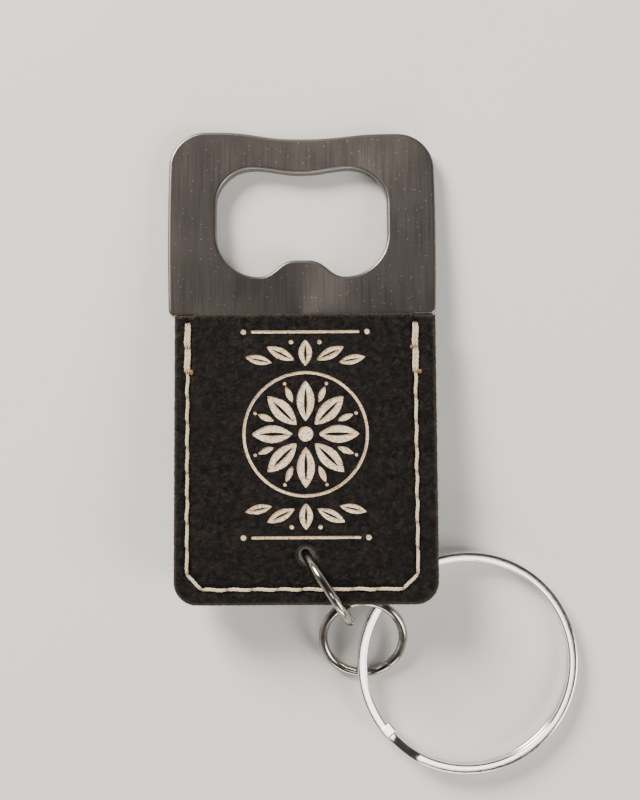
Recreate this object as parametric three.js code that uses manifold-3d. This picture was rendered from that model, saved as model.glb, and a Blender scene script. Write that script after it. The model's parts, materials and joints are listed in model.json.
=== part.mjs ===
// Keychain bottle opener: a stainless steel opener plate whose tongue is sewn between two leather
// panels, with a strap ring through the panels, a link ring and a split key ring.
//
// Millimetres, +Z up, +Y towards the steel head. The opener lies on a table as it does in use:
// the end of the head touches the table, and the rings prop up the leather end.
// The origin is the middle of the underside of the bounding box.

import * as THREE from 'three';
import { mergeVertices } from 'three/addons/utils/BufferGeometryUtils.js';
import Module from 'manifold-3d';

const { degToRad } = THREE.MathUtils;

// ---- Driving dimensions ---------------------------------------------------------------------

const GLUE_GAP = 0.05; // clearance between layers that are glued face to face

// Opener plate. Its own Y axis starts at the shoulder line and points to the top of the head.
const PLATE_THICKNESS = 2.2;
const PLATE_EDGE_RADIUS = 0.4;
const PLATE_OFFSET_X = -0.45; // the plate is sewn in this far off the sleeve's centre line
const HEAD_HALF_WIDTH = 21.1; // at the widest place, half way up the sides
const HEAD_SIDE_BULGE = 0.15; // the sides draw in this much at both ends
const HEAD_HEIGHT = 29.5; // shoulder line to the two high points of the top edge
const HEAD_RIGHT_DROP = 0.4; // the right high point is ground down this much more than the left
const HEAD_TOP_DIP = 1.2;
const HEAD_HIGH_POINT_X = 14;
const HEAD_TOP_RADIUS = 5.8;
const HEAD_FOOT_RADIUS = 1.1;
const TONGUE_HALF_WIDTH = 16.4;
const TONGUE_LENGTH = 31;
const TONGUE_CORNER_RADIUS = 3;
const TONGUE_ROOT = 2; // the tongue's outline runs this far up into the head
const TONGUE_STEP = 0.1; // each face of the tongue is this much below the head's, for the glue

// Opening that takes the bottle cap.
const OPENING_HALF_WIDTH = 13.45;
const OPENING_TOP_Y = 23.5;
const OPENING_TOP_LOBE_X = 7.6;
const OPENING_TOP_SAG = 0.75;
const OPENING_TOP_RADIUS = 5.8;
const OPENING_LOBE_EASE = 3; // lengths of the curve handles along the top edge of the opening
const OPENING_SAG_EASE = 3.4;
const OPENING_BOTTOM_Y = 6.25;
const OPENING_BOTTOM_RADIUS = 6.7;
const LIFT_TAB_HEIGHT = 2.6; // rises from the bottom of the opening and hooks under the cap
const LIFT_TAB_HALF_WIDTH = 1;
const LIFT_TAB_TOP_EASE = 2.8; // lengths of the curve handles down the tab's sides
const LIFT_TAB_FOOT_EASE = 2.5;

// Leather sleeve: two panels with a filler board between them, around the tongue.
const SLEEVE_HALF_WIDTH = 20.3;
const SLEEVE_LENGTH = 44.75;
const SLEEVE_CORNER_RADIUS = 3.6;
const PANEL_THICKNESS = 1;
const PANEL_EDGE_RADIUS = 0.2;
const FRONT_LIP = 0.2; // the front panel overlaps the head by this much between its end notches
const FRONT_LIP_HALF_WIDTH = 17.4;
const FRONT_LIP_RAMP = 0.4;
const BOARD_TOP_Y = -0.3;
const BOARD_SIDE_INSET = 0.3;
const BOARD_TONGUE_GAP = 0.2;
const RING_HOLE_RADIUS = 1.3;
const RING_HOLE_Y = -37.2;

// Seam: a U of thread in a groove of each panel, open towards the head.
const SEAM_LEFT_INSET = 2.05;
const SEAM_RIGHT_INSET = 3.2;
const SEAM_BOTTOM_INSET = 2.4;
const SEAM_CORNER_CUT = 2.3;
const SEAM_CORNER_EASE = 0.8;
const SEAM_TOP_Y = -1.3;
const THREAD_RADIUS = 0.3;
const GROOVE_WIDTH = 1.1;
const GROOVE_OVERRUN = 0.5; // the groove runs on this far past the ends of the thread
const FRONT_GROOVE_DEPTH = 0.3;
const BACK_GROOVE_DEPTH = 0.55;

// Jump rings: round wire bent to a ring whose cut ends nearly meet.
const JUMP_RING_DIAMETER = 14;
const JUMP_WIRE_DIAMETER = 1.4;
const JUMP_RING_CUT = 0.15;
const JUMP_RING_STAGGER = 0.14; // how far the two cut ends stand out of line
const JUMP_RING_LEAN = degToRad(20); // the wire leans out over this much of the ring at each end

// Split key ring: flat wire wound twice, with one ramp between its two turns.
const KEY_RING_DIAMETER = 35;
const KEY_WIRE_WIDTH = 1.5;
const KEY_WIRE_HEIGHT = 1.15;
const KEY_WIRE_CORNER = 0.32;
const KEY_TURN_GAP = 0.1;
const KEY_RAMP_START = degToRad(224);
const KEY_RAMP_SWEEP = degToRad(19);
const KEY_END_CLEARANCE = degToRad(1.2); // each end of the wire stops this far short of the ramp
const KEY_CRIMP_INSET = 0.28; // the crimp's middle is this far inside the wire's
const KEY_CRIMP_WIDTH = 2.1;
const KEY_CRIMP_LENGTH = 1.9;
const KEY_CRIMP_HEIGHT = 1.2;
const KEY_CRIMP_CHAMFER = 0.28;

// How everything lies on the table.
const BODY_TILT = degToRad(5.3); // leather end up
const SHOULDER_Y = 13.1;
const STRAP_RING_YAW = degToRad(33); // from straight away from the head, towards +X
const STRAP_RING_REACH = 5.98; // from the hole's axis to the ring's centre
const STRAP_RING_DROP = 0.62; // the ring slides this far down through the hole
const STRAP_RING_CUT_ANGLE = 0; // the cut faces straight away from the hole
const LINK_RING_CENTRE = new THREE.Vector2(8.82, -37.48);
const LINK_RING_TILT = degToRad(19.4); // its side towards the leather is up
const LINK_RING_CUT_ANGLE = degToRad(-48);
const KEY_RING_CENTRE = new THREE.Vector2(25.35, -41.6);
const KEY_RING_TILT = degToRad(2.68); // its side on the link ring is up
const KEY_RING_RISE_ANGLE = degToRad(186);

// ---- Materials ------------------------------------------------------------------------------

const finish = (color, roughness, metalness) =>
  new THREE.MeshStandardMaterial({ color, roughness, metalness });

const brushedSteel = () => finish(0x9a9792, 0.38, 1);
const blackLeather = () => finish(0x1a1816, 0.62, 0);
const greyBoard = () => finish(0x6d655a, 0.9, 0);
const creamThread = () => finish(0xe6d8bd, 0.75, 0);
const nickelWire = () => finish(0xb9b4ad, 0.2, 1);
const chromeWire = () => finish(0xdedbd6, 0.1, 1);

// ---- Solid helpers --------------------------------------------------------------------------

const wasm = await Module();
wasm.setup();

function toSolid(geometry) {
  const bare = geometry.clone();
  bare.deleteAttribute('normal');
  bare.deleteAttribute('uv');
  const merged = mergeVertices(bare, 1e-4);
  return new wasm.Manifold(
    new wasm.Mesh({
      numProp: 3,
      vertProperties: new Float32Array(merged.attributes.position.array),
      triVerts: new Uint32Array(merged.index.array),
    }),
  );
}

function toGeometry(solid) {
  const mesh = solid.getMesh();
  const geometry = new THREE.BufferGeometry();
  geometry.setAttribute('position', new THREE.BufferAttribute(mesh.vertProperties, 3));
  geometry.setIndex(new THREE.BufferAttribute(mesh.triVerts, 1));
  geometry.computeVertexNormals();
  return geometry;
}

function named(name, geometry, material) {
  const mesh = new THREE.Mesh(geometry, material);
  mesh.name = name;
  return mesh;
}

// A flat sheet of the outline, centred on Z = 0, with its edges rounded over.
function sheet(outline, thickness, edgeRadius, curveSegments = 10) {
  const geometry = new THREE.ExtrudeGeometry(outline, {
    depth: thickness - 2 * edgeRadius,
    bevelEnabled: edgeRadius > 0,
    bevelThickness: edgeRadius,
    bevelSize: edgeRadius,
    bevelOffset: -edgeRadius,
    bevelSegments: 2,
    curveSegments,
  });
  return geometry.translate(0, 0, edgeRadius - thickness / 2);
}

function circleOutline(radius) {
  return new THREE.Shape().absarc(0, 0, radius, 0, 2 * Math.PI);
}

// ---- Opener plate ---------------------------------------------------------------------------

function headOutline() {
  const footHalf = HEAD_HALF_WIDTH - HEAD_SIDE_BULGE;
  const sideTopY = HEAD_HEIGHT - HEAD_TOP_RADIUS;
  const middleY = (sideTopY + HEAD_FOOT_RADIUS) / 2;
  const bulgeX = HEAD_HALF_WIDTH + HEAD_SIDE_BULGE;
  const dipY = HEAD_HEIGHT - HEAD_TOP_DIP;
  const rightY = HEAD_HEIGHT - HEAD_RIGHT_DROP;
  const rightSideTopY = sideTopY - HEAD_RIGHT_DROP;
  const ease = HEAD_HIGH_POINT_X / 2;
  const quarter = Math.PI / 2;
  const outline = new THREE.Shape();
  outline.moveTo(-footHalf + HEAD_FOOT_RADIUS, 0);
  outline.lineTo(footHalf - HEAD_FOOT_RADIUS, 0);
  outline.absarc(footHalf - HEAD_FOOT_RADIUS, HEAD_FOOT_RADIUS, HEAD_FOOT_RADIUS, -quarter, 0);
  outline.quadraticCurveTo(bulgeX, middleY, footHalf, rightSideTopY);
  outline.absarc(footHalf - HEAD_TOP_RADIUS, rightSideTopY, HEAD_TOP_RADIUS, 0, quarter);
  outline.lineTo(HEAD_HIGH_POINT_X, rightY);
  outline.bezierCurveTo(ease, rightY, ease, dipY, 0, dipY);
  outline.bezierCurveTo(-ease, dipY, -ease, HEAD_HEIGHT, -HEAD_HIGH_POINT_X, HEAD_HEIGHT);
  outline.absarc(HEAD_TOP_RADIUS - footHalf, sideTopY, HEAD_TOP_RADIUS, quarter, 2 * quarter);
  outline.quadraticCurveTo(-bulgeX, middleY, -footHalf, HEAD_FOOT_RADIUS);
  outline.absarc(HEAD_FOOT_RADIUS - footHalf, HEAD_FOOT_RADIUS, HEAD_FOOT_RADIUS, 2 * quarter, 3 * quarter);
  return outline;
}

// The opening: two lobes at the top, straight sides, and two lobes at the bottom either side of
// the lift tab. The right half is drawn upwards, then mirrored downwards.
function openingOutline() {
  const topY = OPENING_TOP_Y;
  const sagY = topY - OPENING_TOP_SAG;
  const tabY = OPENING_BOTTOM_Y + LIFT_TAB_HEIGHT;
  const lobeX = OPENING_HALF_WIDTH - OPENING_BOTTOM_RADIUS;
  const half = new THREE.Path();
  half.moveTo(0, tabY);
  half.lineTo(LIFT_TAB_HALF_WIDTH, tabY);
  half.bezierCurveTo(
    LIFT_TAB_HALF_WIDTH + LIFT_TAB_TOP_EASE, tabY,
    lobeX - LIFT_TAB_FOOT_EASE, OPENING_BOTTOM_Y,
    lobeX, OPENING_BOTTOM_Y,
  );
  half.absarc(lobeX, OPENING_BOTTOM_Y + OPENING_BOTTOM_RADIUS, OPENING_BOTTOM_RADIUS, -Math.PI / 2, 0);
  half.absarc(
    OPENING_HALF_WIDTH - OPENING_TOP_RADIUS, topY - OPENING_TOP_RADIUS,
    OPENING_TOP_RADIUS, 0, Math.PI / 2,
  );
  half.lineTo(OPENING_TOP_LOBE_X, topY);
  half.bezierCurveTo(OPENING_TOP_LOBE_X - OPENING_LOBE_EASE, topY, OPENING_SAG_EASE, sagY, 0, sagY);
  const right = half.getPoints(9);
  const left = right.slice(1, -1).reverse().map((p) => new THREE.Vector2(-p.x, p.y));
  return new THREE.Path([...right, ...left]);
}

function tongueOutline() {
  const radius = TONGUE_CORNER_RADIUS;
  const half = TONGUE_HALF_WIDTH;
  const outline = new THREE.Shape();
  outline.moveTo(half, TONGUE_ROOT);
  outline.lineTo(-half, TONGUE_ROOT);
  outline.lineTo(-half, radius - TONGUE_LENGTH);
  outline.absarc(radius - half, radius - TONGUE_LENGTH, radius, Math.PI, 1.5 * Math.PI);
  outline.absarc(half - radius, radius - TONGUE_LENGTH, radius, 1.5 * Math.PI, 2 * Math.PI);
  return outline;
}

function openerPlate() {
  const outline = headOutline();
  outline.holes.push(openingOutline());
  const head = toSolid(sheet(outline, PLATE_THICKNESS, PLATE_EDGE_RADIUS));
  const tongue = toSolid(sheet(tongueOutline(), PLATE_THICKNESS - 2 * TONGUE_STEP, 0, 5));
  const plate = named('opener_plate', toGeometry(head.add(tongue)), brushedSteel());
  plate.position.x = PLATE_OFFSET_X;
  return plate;
}

// ---- Leather sleeve -------------------------------------------------------------------------

// Sleeve outline from its top edge at topY, drawn in by inset at the sides and the bottom.
function sleeveOutline(topY, inset) {
  const half = SLEEVE_HALF_WIDTH - inset;
  const radius = SLEEVE_CORNER_RADIUS - inset;
  const bottomY = inset - SLEEVE_LENGTH;
  const outline = new THREE.Shape();
  outline.moveTo(half, topY);
  outline.lineTo(-half, topY);
  outline.lineTo(-half, bottomY + radius);
  outline.absarc(radius - half, bottomY + radius, radius, Math.PI, 1.5 * Math.PI);
  outline.absarc(half - radius, bottomY + radius, radius, 1.5 * Math.PI, 2 * Math.PI);
  return outline;
}

function frontPanelOutline() {
  const outline = sleeveOutline(-GLUE_GAP, 0);
  const lip = FRONT_LIP_HALF_WIDTH;
  const points = outline.getPoints(8);
  const corner = points.shift();
  const steps = [
    corner,
    new THREE.Vector2(lip, -GLUE_GAP),
    new THREE.Vector2(lip - FRONT_LIP_RAMP, FRONT_LIP),
    new THREE.Vector2(FRONT_LIP_RAMP - lip, FRONT_LIP),
    new THREE.Vector2(-lip, -GLUE_GAP),
  ];
  return new THREE.Shape([...steps, ...points]);
}

// Seam line on a panel with its outer face up, as points from one top end round to the other.
// facing is 1 for the front and -1 for the back, which puts the two seams over one another.
function seamPoints(facing) {
  const leftX = SEAM_LEFT_INSET - SLEEVE_HALF_WIDTH;
  const rightX = SLEEVE_HALF_WIDTH - SEAM_RIGHT_INSET;
  const bottomY = SEAM_BOTTOM_INSET - SLEEVE_LENGTH;
  return [
    new THREE.Vector2(leftX, SEAM_TOP_Y),
    new THREE.Vector2(leftX, bottomY + SEAM_CORNER_CUT),
    new THREE.Vector2(leftX + SEAM_CORNER_CUT, bottomY),
    new THREE.Vector2(rightX - SEAM_CORNER_CUT, bottomY),
    new THREE.Vector2(rightX, bottomY + SEAM_CORNER_CUT),
    new THREE.Vector2(rightX, SEAM_TOP_Y),
  ].map((p) => new THREE.Vector2(facing * p.x, p.y));
}

// The seam line as straight stretches with eased corners.
function seamCurve(facing) {
  const points = seamPoints(facing);
  const path = new THREE.CurvePath();
  const lift = (p) => new THREE.Vector3(p.x, p.y, 0);
  let start = points[0];
  for (let i = 1; i < points.length - 1; i += 1) {
    const before = points[i].clone().sub(points[i - 1]).setLength(SEAM_CORNER_EASE);
    const after = points[i + 1].clone().sub(points[i]).setLength(SEAM_CORNER_EASE);
    const entry = points[i].clone().sub(before);
    const exit = points[i].clone().add(after);
    path.add(new THREE.LineCurve3(lift(start), lift(entry)));
    path.add(new THREE.QuadraticBezierCurve3(lift(entry), lift(points[i]), lift(exit)));
    start = exit;
  }
  path.add(new THREE.LineCurve3(lift(start), lift(points[points.length - 1])));
  return path;
}

// The groove is the seam line offset to both sides, cut down into the panel from its outer face.
function grooveCutter(depth, facing) {
  const half = GROOVE_WIDTH / 2;
  const end = new THREE.Vector2(0, 1);
  const points = seamPoints(facing);
  const side = (distance) =>
    points.map((p, i) => {
      const before = (i === 0 ? end.clone().negate() : p.clone().sub(points[i - 1])).normalize();
      const last = i === points.length - 1;
      const after = (last ? end.clone() : points[i + 1].clone().sub(p)).normalize();
      const bisector = before.clone().add(after).normalize();
      const stretch = distance / bisector.dot(before);
      return new THREE.Vector2(p.x + bisector.y * stretch, p.y - bisector.x * stretch);
    });
  const loop = [...side(half), ...side(-half).reverse()];
  const top = SEAM_TOP_Y + GROOVE_OVERRUN;
  loop.forEach((p, i) => {
    const isEnd = i === 0 || i === points.length - 1 || i === points.length || i === loop.length - 1;
    if (isEnd) p.y = top;
  });
  return new THREE.ExtrudeGeometry(new THREE.Shape(loop), { depth: 2 * depth, bevelEnabled: false })
    .translate(0, 0, -depth);
}

// A panel lying on Z = 0 with its outer face up.
function panelGeometry(outline, grooveDepth, facing) {
  const hole = new THREE.ExtrudeGeometry(circleOutline(RING_HOLE_RADIUS), {
    depth: 3 * PANEL_THICKNESS,
    bevelEnabled: false,
    curveSegments: 12,
  }).translate(0, RING_HOLE_Y, -PANEL_THICKNESS);
  const groove = grooveCutter(grooveDepth, facing).translate(0, 0, PANEL_THICKNESS);
  const blank = sheet(outline, PANEL_THICKNESS, PANEL_EDGE_RADIUS, 8)
    .translate(0, 0, PANEL_THICKNESS / 2);
  return toGeometry(toSolid(blank).subtract(toSolid(hole)).subtract(toSolid(groove)));
}

function threadGeometry(grooveDepth, facing) {
  const height = PANEL_THICKNESS - grooveDepth + GLUE_GAP + THREAD_RADIUS;
  return new THREE.ExtrudeGeometry(circleOutline(THREAD_RADIUS), {
    extrudePath: seamCurve(facing),
    steps: 80,
    curveSegments: 4,
  }).translate(0, 0, height);
}

const PANEL_Z = PLATE_THICKNESS / 2 + GLUE_GAP; // inner face of a panel from the middle plane

function frontSide() {
  const side = new THREE.Group();
  const outline = frontPanelOutline();
  side.add(
    named('front_panel', panelGeometry(outline, FRONT_GROOVE_DEPTH, 1), blackLeather()),
    named('front_stitching', threadGeometry(FRONT_GROOVE_DEPTH, 1), creamThread()),
  );
  side.position.z = PANEL_Z;
  return side;
}

// The back is built facing up and turned over about the Y axis.
function backSide() {
  const side = new THREE.Group();
  const outline = sleeveOutline(-GLUE_GAP, 0);
  side.add(
    named('back_panel', panelGeometry(outline, BACK_GROOVE_DEPTH, -1), blackLeather()),
    named('back_stitching', threadGeometry(BACK_GROOVE_DEPTH, -1), creamThread()),
  );
  side.position.z = -PANEL_Z;
  side.rotation.y = Math.PI;
  return side;
}

// Filler board: fills the space around the tongue, so that the sleeve is flat.
function coreSpacer() {
  const gap = BOARD_TONGUE_GAP;
  const half = TONGUE_HALF_WIDTH + gap;
  const outer = sleeveOutline(BOARD_TOP_Y, BOARD_SIDE_INSET);
  const slotBottom = -TONGUE_LENGTH - gap;
  const radius = TONGUE_CORNER_RADIUS;
  const slot = new THREE.Shape();
  slot.moveTo(half, gap);
  slot.lineTo(-half, gap);
  slot.lineTo(-half, slotBottom + radius);
  slot.absarc(radius - half, slotBottom + radius, radius, Math.PI, 1.5 * Math.PI);
  slot.absarc(half - radius, slotBottom + radius, radius, 1.5 * Math.PI, 2 * Math.PI);
  const thickness = PLATE_THICKNESS;
  const board = toSolid(sheet(outer, thickness, 0, 8));
  const cut = toSolid(sheet(slot, 2 * thickness, 0, 6).translate(PLATE_OFFSET_X, 0, 0));
  const hole = toSolid(sheet(circleOutline(RING_HOLE_RADIUS), 2 * thickness, 0, 12)
    .translate(0, RING_HOLE_Y, 0));
  return named('core_spacer', toGeometry(board.subtract(cut).subtract(hole)), greyBoard());
}

// ---- Rings ----------------------------------------------------------------------------------

// A coil round the Z axis, wound the right-handed way. heightAt gives Z from the turned angle.
// Its section frame stays upright, so that a flat wire stays flat.
class Coil extends THREE.Curve {
  constructor(radius, startAngle, sweep, heightAt) {
    super();
    this.radius = radius;
    this.startAngle = startAngle;
    this.sweep = sweep;
    this.heightAt = heightAt;
    this.arcLengthDivisions = 2000;
  }

  getPoint(t) {
    const turned = t * this.sweep;
    const angle = this.startAngle + turned;
    return new THREE.Vector3(
      this.radius * Math.cos(angle),
      this.radius * Math.sin(angle),
      this.heightAt(turned),
    );
  }

  computeFrenetFrames(segments) {
    const frames = { tangents: [], normals: [], binormals: [] };
    for (let i = 0; i <= segments; i += 1) {
      const point = this.getPointAt(i / segments);
      const inward = new THREE.Vector3(-point.x, -point.y, 0).normalize();
      frames.tangents.push(this.getTangentAt(i / segments));
      frames.normals.push(inward);
      frames.binormals.push(new THREE.Vector3(0, 0, 1));
    }
    return frames;
  }
}

// Ring in the XY plane, centred on the origin, with its cut at cutAngle.
function jumpRingGeometry(cutAngle) {
  const radius = (JUMP_RING_DIAMETER - JUMP_WIRE_DIAMETER) / 2;
  const cut = JUMP_RING_CUT / radius;
  const sweep = 2 * Math.PI - cut;
  const lean = (turned) => {
    const toEnd = Math.min(turned, sweep - turned);
    const side = turned < sweep / 2 ? -1 : 1;
    const near = Math.max(0, 1 - toEnd / JUMP_RING_LEAN);
    return (side * JUMP_RING_STAGGER * near * near) / 2;
  };
  const path = new Coil(radius, cutAngle + cut / 2, sweep, lean);
  return new THREE.ExtrudeGeometry(circleOutline(JUMP_WIRE_DIAMETER / 2), {
    extrudePath: path,
    steps: 60,
    curveSegments: 5,
  });
}

function strapRing() {
  const ring = named('strap_ring', jumpRingGeometry(STRAP_RING_CUT_ANGLE), nickelWire());
  const facing = new THREE.Group();
  facing.position.set(0, RING_HOLE_Y, 0);
  facing.rotation.z = STRAP_RING_YAW - Math.PI / 2; // local X points out from the hole
  ring.rotation.x = Math.PI / 2; // stands the ring up: its own Y becomes the sleeve's normal
  ring.position.set(STRAP_RING_REACH, 0, -STRAP_RING_DROP);
  facing.add(ring);
  return facing;
}

function linkRing() {
  const ring = named('link_ring', jumpRingGeometry(LINK_RING_CUT_ANGLE), nickelWire());
  const low = (JUMP_RING_DIAMETER - JUMP_WIRE_DIAMETER) / 2 * Math.sin(LINK_RING_TILT);
  ring.rotation.x = LINK_RING_TILT;
  ring.position.set(LINK_RING_CENTRE.x, LINK_RING_CENTRE.y, low + JUMP_WIRE_DIAMETER / 2);
  return ring;
}

function flatWireOutline() {
  const x = KEY_WIRE_WIDTH / 2;
  const y = KEY_WIRE_HEIGHT / 2;
  const r = KEY_WIRE_CORNER;
  const quarter = Math.PI / 2;
  const outline = new THREE.Shape();
  outline.moveTo(x, r - y);
  outline.absarc(x - r, y - r, r, 0, quarter);
  outline.absarc(r - x, y - r, r, quarter, 2 * quarter);
  outline.absarc(r - x, r - y, r, 2 * quarter, 3 * quarter);
  outline.absarc(x - r, r - y, r, 3 * quarter, 4 * quarter);
  return outline;
}

// The flattened end of the wire, centred on the wire and standing along its own Y.
function crimpGeometry() {
  const x = KEY_CRIMP_WIDTH / 2;
  const y = KEY_CRIMP_HEIGHT / 2;
  const c = KEY_CRIMP_CHAMFER;
  const corners = [
    [-x, c - y], [c - x, -y], [x - c, -y], [x, c - y],
    [x, y - c], [x - c, y], [c - x, y], [-x, y - c],
  ];
  const outline = new THREE.Shape(corners.map(([u, v]) => new THREE.Vector2(u, v)));
  return new THREE.ExtrudeGeometry(outline, { depth: KEY_CRIMP_LENGTH, bevelEnabled: false })
    .translate(0, 0, -KEY_CRIMP_LENGTH / 2)
    .rotateX(Math.PI / 2);
}

// Lower turn, ramp and upper turn as one wire, with the crimped end on top.
function keyRing() {
  const radius = (KEY_RING_DIAMETER - KEY_WIRE_WIDTH) / 2;
  const level = (KEY_WIRE_HEIGHT + KEY_TURN_GAP) / 2;
  const turn = 2 * Math.PI - KEY_RAMP_SWEEP;
  const height = (turned) => {
    const ramp = THREE.MathUtils.clamp((turned - turn) / KEY_RAMP_SWEEP, 0, 1);
    return level * (2 * THREE.MathUtils.smoothstep(ramp, 0, 1) - 1);
  };
  const start = KEY_RAMP_START + KEY_RAMP_SWEEP + KEY_END_CLEARANCE;
  const sweep = 4 * Math.PI - KEY_RAMP_SWEEP - 2 * KEY_END_CLEARANCE;
  const path = new Coil(radius, start, sweep, (turned) => height(turned + KEY_END_CLEARANCE));
  const wire = new THREE.ExtrudeGeometry(flatWireOutline(), {
    extrudePath: path,
    steps: 132,
    curveSegments: 2,
  });
  const crimpLevel = level + (KEY_CRIMP_HEIGHT - KEY_WIRE_HEIGHT) / 2;
  const crimp = crimpGeometry()
    .translate(radius - KEY_CRIMP_INSET, 0, crimpLevel)
    .rotateZ(KEY_RAMP_START - KEY_END_CLEARANCE - KEY_CRIMP_LENGTH / 2 / radius);
  const ring = named('key_ring', toGeometry(toSolid(wire).add(toSolid(crimp))), chromeWire());
  ring.rotation.z = -KEY_RING_RISE_ANGLE;
  const tilted = new THREE.Group();
  tilted.rotation.y = -KEY_RING_TILT;
  tilted.add(ring);
  const placed = new THREE.Group();
  const rise = (KEY_RING_DIAMETER / 2) * Math.sin(KEY_RING_TILT);
  placed.position.set(KEY_RING_CENTRE.x, KEY_RING_CENTRE.y, level + KEY_WIRE_HEIGHT / 2 + rise);
  placed.rotation.z = KEY_RING_RISE_ANGLE;
  placed.add(tilted);
  return placed;
}

// ---- Assembly -------------------------------------------------------------------------------

function sewnBody() {
  const body = new THREE.Group();
  body.add(openerPlate(), coreSpacer(), frontSide(), backSide(), strapRing());
  const topEdge = HEAD_HEIGHT - PLATE_EDGE_RADIUS;
  const height = topEdge * Math.sin(BODY_TILT) + (PLATE_THICKNESS / 2) * Math.cos(BODY_TILT);
  body.position.set(0, SHOULDER_Y, height);
  body.rotation.x = -BODY_TILT;
  return body;
}

const opener = new THREE.Group();
opener.add(sewnBody(), linkRing(), keyRing());
opener.updateMatrixWorld(true);
const extent = new THREE.Box3().setFromObject(opener, true);
const middle = extent.getCenter(new THREE.Vector3());
opener.position.set(-middle.x, -middle.y, -extent.min.z);

export default opener;
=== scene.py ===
"""Looks of the keychain bottle opener: a brushed steel opener plate sewn between two black leather
panels, a strap ring, a link ring and a split key ring, lying on a pale floor.

Shapes are worked out in millimetres. The sleeve and the plate are built in the sleeve's own frame:
X across, Y from the shoulder line towards the head, Z out of the front, 0 at the plate's middle.
"""

import json
import math
import random

import bmesh
import bpy
import numpy as np
from mathutils import Matrix, Vector
from mathutils.geometry import delaunay_2d_cdt


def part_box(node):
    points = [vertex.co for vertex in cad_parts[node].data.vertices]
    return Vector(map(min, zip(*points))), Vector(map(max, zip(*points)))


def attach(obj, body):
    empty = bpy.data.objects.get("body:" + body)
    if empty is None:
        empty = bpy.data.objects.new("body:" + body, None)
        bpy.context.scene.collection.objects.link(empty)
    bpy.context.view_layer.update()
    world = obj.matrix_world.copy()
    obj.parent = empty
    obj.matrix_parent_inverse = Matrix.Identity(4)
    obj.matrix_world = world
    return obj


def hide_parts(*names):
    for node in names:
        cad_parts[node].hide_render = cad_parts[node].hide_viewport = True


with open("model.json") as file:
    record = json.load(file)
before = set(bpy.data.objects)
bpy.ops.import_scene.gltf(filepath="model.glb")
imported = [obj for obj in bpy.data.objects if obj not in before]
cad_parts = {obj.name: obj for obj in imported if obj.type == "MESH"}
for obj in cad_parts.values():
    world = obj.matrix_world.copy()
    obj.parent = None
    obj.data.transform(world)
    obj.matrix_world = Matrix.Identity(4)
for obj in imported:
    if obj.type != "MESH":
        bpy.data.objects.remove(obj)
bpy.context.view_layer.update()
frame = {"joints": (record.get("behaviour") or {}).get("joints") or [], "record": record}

MM = 0.001
QUARTER = math.pi / 2

# ---- Sizes that the CAD part has too ----

PLATE_THICKNESS = 2.2
PLATE_EDGE_RADIUS = 0.42
PLATE_OFFSET_X = -0.45
HEAD_HALF_WIDTH = 21.1
HEAD_SIDE_BULGE = 0.15
HEAD_HEIGHT = 29.5
HEAD_RIGHT_DROP = 0.4
HEAD_TOP_DIP = 1.2
HEAD_HIGH_POINT_X = 14
HEAD_TOP_RADIUS = 5.8
HEAD_FOOT_RADIUS = 1.1
TONGUE_HALF_WIDTH = 16.4
TONGUE_LENGTH = 31
TONGUE_CORNER_RADIUS = 3
OPENING_HALF_WIDTH = 13.45
OPENING_TOP_Y = 23.5
OPENING_TOP_LOBE_X = 7.6
OPENING_TOP_SAG = 0.75
OPENING_TOP_LOBE_EASE = 3
OPENING_TOP_SAG_EASE = 3.4
OPENING_TOP_RADIUS = 5.8
OPENING_BOTTOM_Y = 6.25
OPENING_BOTTOM_RADIUS = 6.7
LIFT_TAB_HEIGHT = 2.6
LIFT_TAB_HALF_WIDTH = 1.0
LIFT_TAB_TOP_EASE = 2.8
LIFT_TAB_FOOT_EASE = 2.5

SLEEVE_HALF_WIDTH = 20.3
SLEEVE_LENGTH = 44.75
SLEEVE_CORNER_RADIUS = 3.6
PANEL_THICKNESS = 1
PANEL_GAP = 0.05
FRONT_LIP = 0.2
FRONT_LIP_HALF_WIDTH = 17.4
FRONT_LIP_SLOPE = 0.4
BOARD_INSET = 0.3
BOARD_TOP_Y = -0.3
BOARD_GAP = 0.2
BOARD_EDGE_RADIUS = 0.1
RING_HOLE_RADIUS = 1.3
RING_HOLE_Y = -37.2
SEAM_LEFT_X = 2.05 - SLEEVE_HALF_WIDTH
SEAM_RIGHT_X = SLEEVE_HALF_WIDTH - 3.2
SEAM_BOTTOM_Y = 2.4 - SLEEVE_LENGTH
SEAM_CORNER_CUT = 2.3
SEAM_TOP_Y = -1.3

RING_DIAMETER = 14
RING_WIRE = 1.4
RING_CUT = 0.15
RING_STAGGER = 0.14
RING_LEAN = math.radians(20)
LINK_RING_TILT = math.radians(19.4)
LINK_RING_CUT_ANGLE = math.radians(-48)

KEY_DIAMETER = 35
KEY_WIRE_WIDTH = 1.5
KEY_WIRE_HEIGHT = 1.15
KEY_WIRE_CORNER = 0.32
KEY_TURN_GAP = 0.1
KEY_RAMP_START = math.radians(224)
KEY_RAMP_SWEEP = math.radians(19)
KEY_END_CLEARANCE = math.radians(1.2)
CRIMP_INSET = 0.28
CRIMP_WIDTH = 2.1
CRIMP_LENGTH = 1.9
CRIMP_HEIGHT = 1.2

# ---- Where the parts lie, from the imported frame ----

JOINTS = {joint["name"]: joint for joint in frame["joints"]}


def joint_place(name):
    joint = JOINTS[name]
    return Vector(joint["pos_m"]) / MM, Vector(joint["axis"]).normalized()


def mount_axis(name):
    mount = next(item for item in frame["record"]["mounts"] if item["name"] == name)
    return Vector(mount["axis"]).normalized()


def box_centre(node):
    low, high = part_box(node)
    return (low + high) / 2 / MM


RIGHT = Vector((1, 0, 0))
UP = Vector((0, 0, 1))
HOLE, _ = joint_place("strap_ring_swing")
NORMAL = mount_axis("head_front_face")
ALONG = NORMAL.cross(RIGHT)
ORIGIN = HOLE - RING_HOLE_Y * ALONG
SLEEVE_FRAME = Matrix.Translation(ORIGIN) @ Matrix((RIGHT, ALONG, NORMAL)).transposed().to_4x4()


# ---- Outlines ----

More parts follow.
